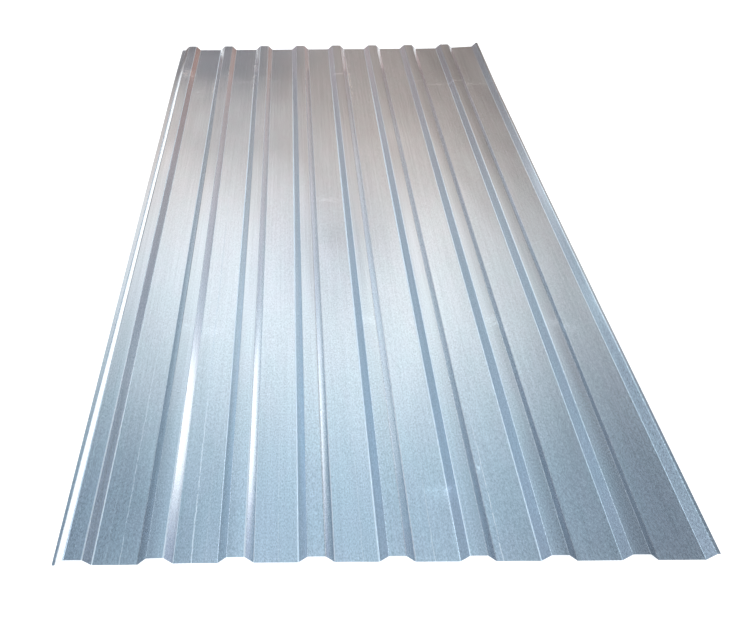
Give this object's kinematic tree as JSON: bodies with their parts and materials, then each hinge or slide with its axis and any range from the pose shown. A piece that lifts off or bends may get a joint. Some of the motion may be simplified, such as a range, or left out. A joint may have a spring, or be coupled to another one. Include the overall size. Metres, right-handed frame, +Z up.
{
  "type": "corrugated metal sheet",
  "caption": "Trapezoidal corrugated sheet of galvanised steel for roofs, walls and fences, with an underlap lip along one side and an overlap flange along the other.",
  "frame": {"origin": "centre of the sheet's footprint, on the plane that the undersides of its valleys rest on", "axes": "+Y along the ribs, which is the length of the sheet; +X across the ribs, from the underlap lip to the overlap flange; +Z up, out of the crowns"},
  "size_m": [0.904, 2, 0.012],
  "materials": {
    "galvanised_steel": "bright zinc coating with a fine lengthwise grain, satin, lightly scuffed"
  },
  "bodies": {
    "root": {"corrugated_sheet": "galvanised_steel"}
  },
  "joints": []
}
